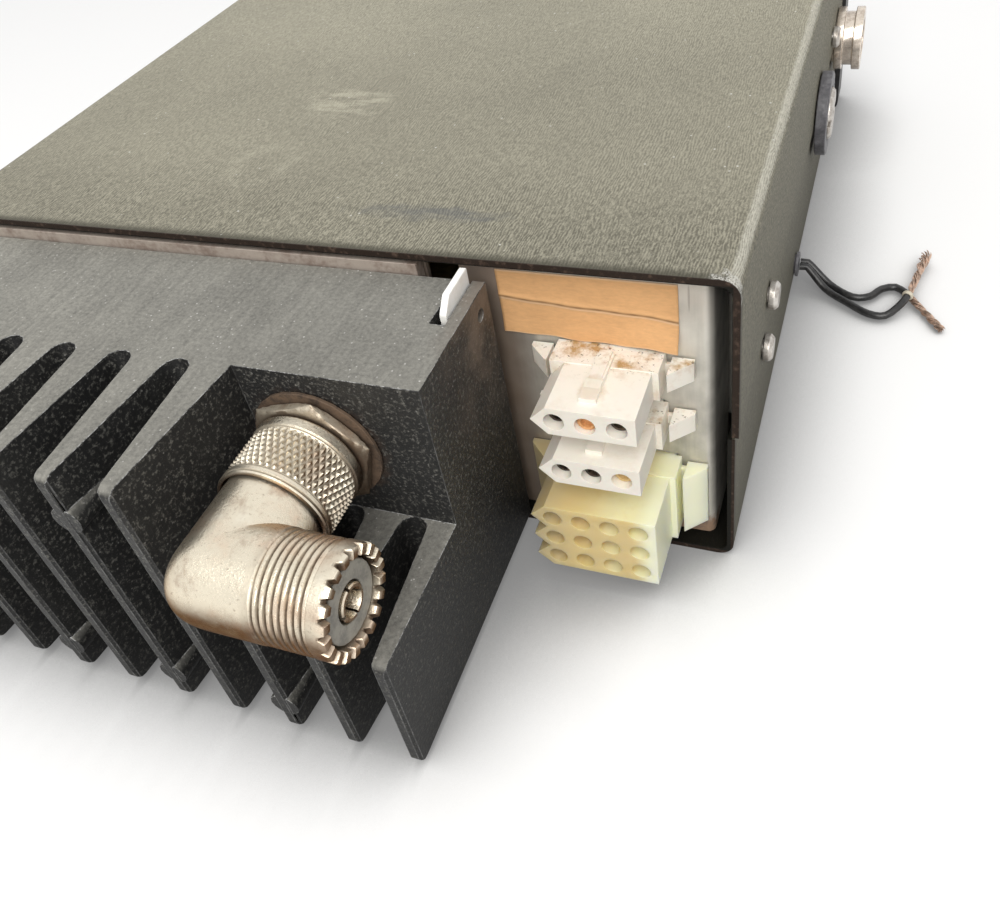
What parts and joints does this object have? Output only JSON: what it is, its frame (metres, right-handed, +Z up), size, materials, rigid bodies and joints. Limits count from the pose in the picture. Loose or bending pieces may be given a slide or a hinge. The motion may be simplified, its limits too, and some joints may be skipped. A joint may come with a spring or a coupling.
{
  "type": "mobile transceiver",
  "caption": "Vehicle radio in a two-piece vinyl-clad steel case with a finned cast heat sink, nylon plugs, a right-angle antenna adapter and a control panel with knobs, meter and buttons.",
  "frame": {"origin": "middle of the case's flat underside, on the surface that the case stands on", "axes": "+Z up, +Y from the control panel towards the heat sink, +X to the left seen from behind"},
  "size_m": [0.197, 0.2647, 0.063],
  "materials": {
    "leathercloth_steel": "steel sheet clad in grained black-olive vinyl, dusty",
    "zinc_steel": "dull zinc plate",
    "brown_steel": "tarnished brown plate",
    "kraft_paper": "aged kraft paper",
    "black_casting": "black semi-matt coating on a casting, dusty",
    "white_sheet": "white fibre sheet",
    "circuit_board": "phenolic laminate",
    "rusty_steel": "rusted",
    "worn_nickel": "worn nickel plate",
    "grey_insulator": "grey moulded insulator",
    "cream_nylon": "yellowed white nylon",
    "clear_nylon": "translucent yellow-green nylon",
    "screw_steel": "plated steel",
    "black_rubber": "matt rubber",
    "bright_chrome": "bright chrome",
    "black_plastic": "satin black plastic",
    "wire_vinyl": "black vinyl insulation",
    "bare_copper": "tarnished copper strands",
    "brushed_aluminium": "brushed",
    "paper_cone": "black paper pulp",
    "clear_window": "clear acrylic",
    "dial_white": "ivory dial",
    "needle_red": "red paint"
  },
  "bodies": {
    "case": {"top_cover": "leathercloth_steel", "bottom_cover": "leathercloth_steel", "top_screw_left_front": "screw_steel", "top_screw_left_rear": "screw_steel", "top_screw_right_front": "screw_steel", "top_screw_right_rear": "screw_steel", "bottom_screw_left_front": "screw_steel", "bottom_screw_left_rear": "screw_steel", "bottom_screw_right_front": "screw_steel", "bottom_screw_right_rear": "screw_steel", "chassis": "zinc_steel", "side_rail_left": "zinc_steel", "side_rail_right": "zinc_steel", "rear_panel": "zinc_steel", "panel_label": "kraft_paper", "main_board": "circuit_board", "heat_sink": "black_casting", "insulating_tab": "white_sheet", "amplifier_plate": "brown_steel", "amplifier_board": "circuit_board", "power_transistor": "black_plastic", "antenna_socket": "worn_nickel", "antenna_washer": "rusty_steel", "antenna_nut": "worn_nickel", "power_plug_upper": "cream_nylon", "power_plug_lower": "cream_nylon", "accessory_plug": "clear_nylon", "mount_cushion_left": "black_rubber", "mount_cushion_right": "black_rubber", "mic_socket": "bright_chrome", "mic_insert": "black_plastic", "speaker_basket": "zinc_steel", "speaker_cone": "paper_cone", "wire_grommet": "black_rubber", "lead_wire_a": "wire_vinyl", "lead_wire_b": "wire_vinyl", "copper_end_a": "bare_copper", "copper_end_b": "bare_copper", "front_bezel": "black_plastic", "fascia_plate": "brushed_aluminium", "channel_switch": "black_plastic", "dial_window": "clear_window", "volume_control": "zinc_steel", "squelch_control": "zinc_steel", "meter_case": "dial_white", "meter_window": "clear_window", "button_switch": "black_plastic"},
    "channel_selector": {"channel_knob": "black_plastic", "channel_dial": "dial_white"},
    "volume": {"volume_knob": "black_plastic"},
    "squelch": {"squelch_knob": "black_plastic"},
    "needle": {"meter_needle": "needle_red"},
    "power_key": {"power_button": "bright_chrome"},
    "tone_key": {"tone_button": "bright_chrome"},
    "left_mount_screw": {"mount_screw_left": "screw_steel"},
    "right_mount_screw": {"mount_screw_right": "screw_steel"},
    "coupling_ring": {"adapter_coupling_ring": "worn_nickel"},
    "adapter": {"adapter_elbow": "worn_nickel", "adapter_insulator": "grey_insulator", "adapter_contact": "worn_nickel"}
  },
  "joints": [
    {"name": "channel_turn", "type": "hinge", "parent": "case", "child": "channel_selector", "pos_m": [0.048, -0.1, 0.031], "axis": [0, 1, 0], "range_deg": [-165, 165]},
    {"name": "volume_turn", "type": "hinge", "parent": "case", "child": "volume", "pos_m": [-0.061, -0.1, 0.0165], "axis": [0, 1, 0], "range_deg": [-150, 150]},
    {"name": "squelch_turn", "type": "hinge", "parent": "case", "child": "squelch", "pos_m": [-0.035, -0.1, 0.0165], "axis": [0, 1, 0], "range_deg": [-150, 150]},
    {"name": "needle_swing", "type": "hinge", "parent": "case", "child": "needle", "pos_m": [-0.048, -0.0878, 0.0345], "axis": [0, 1, 0], "range_deg": [0, 80], "stiffness_Nm_per_rad": 0.0003},
    {"name": "power_press", "type": "slide", "parent": "case", "child": "power_key", "axis": [0, 1, 0], "range_m": [0, 0.0025], "stiffness_N_per_m": 400},
    {"name": "tone_press", "type": "slide", "parent": "case", "child": "tone_key", "axis": [0, 1, 0], "range_m": [0, 0.0025], "stiffness_N_per_m": 400},
    {"name": "left_screw_turn", "type": "hinge", "parent": "case", "child": "left_mount_screw", "pos_m": [0.0818, -0.026, 0.0306], "axis": [1, 0, 0], "continuous": true},
    {"name": "right_screw_turn", "type": "hinge", "parent": "case", "child": "right_mount_screw", "pos_m": [-0.0818, -0.026, 0.0306], "axis": [1, 0, 0], "continuous": true},
    {"name": "ring_turn", "type": "hinge", "parent": "case", "child": "coupling_ring", "pos_m": [-0.0196, 0.1233, 0.0436], "axis": [0, 1, 0], "continuous": true},
    {"name": "adapter_swivel", "type": "hinge", "parent": "case", "child": "adapter", "pos_m": [-0.0196, 0.1399, 0.0436], "axis": [0, 1, 0], "range_deg": [-15, 100]}
  ]
}
